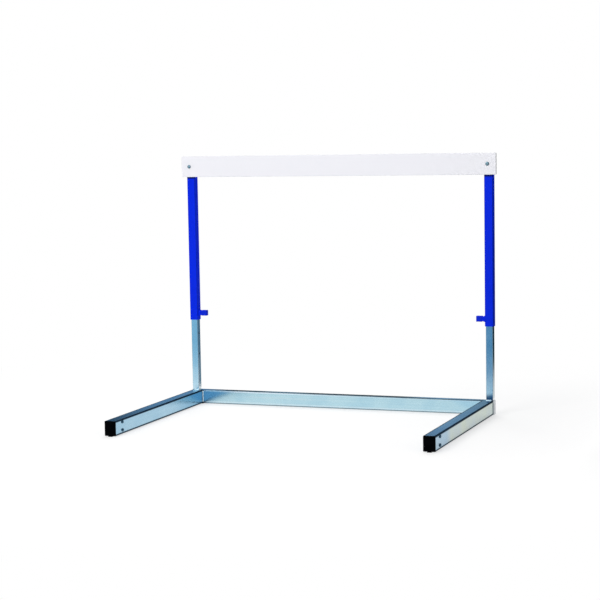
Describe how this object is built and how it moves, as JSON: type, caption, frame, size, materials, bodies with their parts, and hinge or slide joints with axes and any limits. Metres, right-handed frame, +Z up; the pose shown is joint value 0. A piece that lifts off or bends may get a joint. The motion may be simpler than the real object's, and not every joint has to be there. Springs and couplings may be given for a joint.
{
  "type": "track hurdle",
  "caption": "Height-adjustable track hurdle: white crossbar on blue sleeves that slide on square steel posts, held by sprung latch pins, over a weighted U-shaped base of plated tube.",
  "frame": {"origin": "on the ground, under the centre of the bounding box", "axes": "+X along the crossbar, to the right when seen from the legs' front ends; +Y from the legs' front ends to the posts; +Z up"},
  "size_m": [1.175, 0.777, 0.914],
  "materials": {
    "white_crossbar": "smooth white, satin gloss",
    "blue_paint": "gloss blue powder coat",
    "blue_plastic": "moulded, satin",
    "zinc_tube": "bright zinc plated, slightly blue",
    "zinc_fastener": "zinc plated",
    "weld_metal": "weld bead, plated over",
    "black_plastic": "moulded, satin",
    "grey_plastic": "moulded, satin",
    "black_rubber": "matt",
    "raw_steel": "sawn bar, unplated",
    "spring_steel": "drawn wire"
  },
  "bodies": {
    "base": {"cross_rail": "zinc_tube", "rail_end_plug_left": "grey_plastic", "rail_end_plug_right": "grey_plastic", "rail_foot_pad_left": "black_rubber", "rail_foot_pad_right": "black_rubber", "post_left": "zinc_tube", "post_right": "zinc_tube", "post_top_plug_left": "black_plastic", "post_top_plug_right": "black_plastic", "post_weld_left": "weld_metal", "post_weld_right": "weld_metal", "leg_left": "zinc_tube", "leg_right": "zinc_tube", "leg_weld_left": "weld_metal", "leg_weld_right": "weld_metal", "leg_front_cap_left": "black_plastic", "leg_front_cap_right": "black_plastic", "leg_counterweight_left": "raw_steel", "leg_counterweight_right": "raw_steel", "weight_bolt_left_upper": "zinc_fastener", "weight_bolt_left_lower": "zinc_fastener", "weight_bolt_right_upper": "zinc_fastener", "weight_bolt_right_lower": "zinc_fastener", "weight_nut_left_upper": "zinc_fastener", "weight_nut_left_lower": "zinc_fastener", "weight_nut_right_upper": "zinc_fastener", "weight_nut_right_lower": "zinc_fastener"},
    "bar_frame": {"crossbar": "white_crossbar", "crossbar_bolt_left": "zinc_fastener", "crossbar_bolt_right": "zinc_fastener", "crossbar_front_washer_left": "zinc_fastener", "crossbar_front_washer_right": "zinc_fastener", "crossbar_rear_washer_left": "zinc_fastener", "crossbar_rear_washer_right": "zinc_fastener", "crossbar_nut_left": "zinc_fastener", "crossbar_nut_right": "zinc_fastener", "sleeve_left": "blue_paint", "sleeve_right": "blue_paint", "sleeve_top_plug_left": "black_plastic", "sleeve_top_plug_right": "black_plastic", "latch_housing_left": "blue_paint", "latch_housing_right": "blue_paint", "latch_end_bush_left": "zinc_fastener", "latch_end_bush_right": "zinc_fastener", "latch_spring_left": "spring_steel", "latch_spring_right": "spring_steel"},
    "latch_left": {"latch_pin_left": "zinc_fastener", "latch_knob_left": "blue_plastic"},
    "latch_right": {"latch_pin_right": "zinc_fastener", "latch_knob_right": "blue_plastic"}
  },
  "joints": [
    {"name": "height_slide", "type": "slide", "parent": "base", "child": "bar_frame", "axis": [0, 0, 1], "range_m": [-0.1524, 0.1524]},
    {"name": "latch_left_slide", "type": "slide", "parent": "bar_frame", "child": "latch_left", "axis": [-1, 0, 0], "range_m": [0, 0.0055], "stiffness_N_per_m": 900, "springref_m": 0.012, "deforming": ["latch_spring_left"]},
    {"name": "latch_right_slide", "type": "slide", "parent": "bar_frame", "child": "latch_right", "axis": [1, 0, 0], "range_m": [0, 0.0055], "stiffness_N_per_m": 900, "springref_m": 0.012, "deforming": ["latch_spring_right"]}
  ]
}
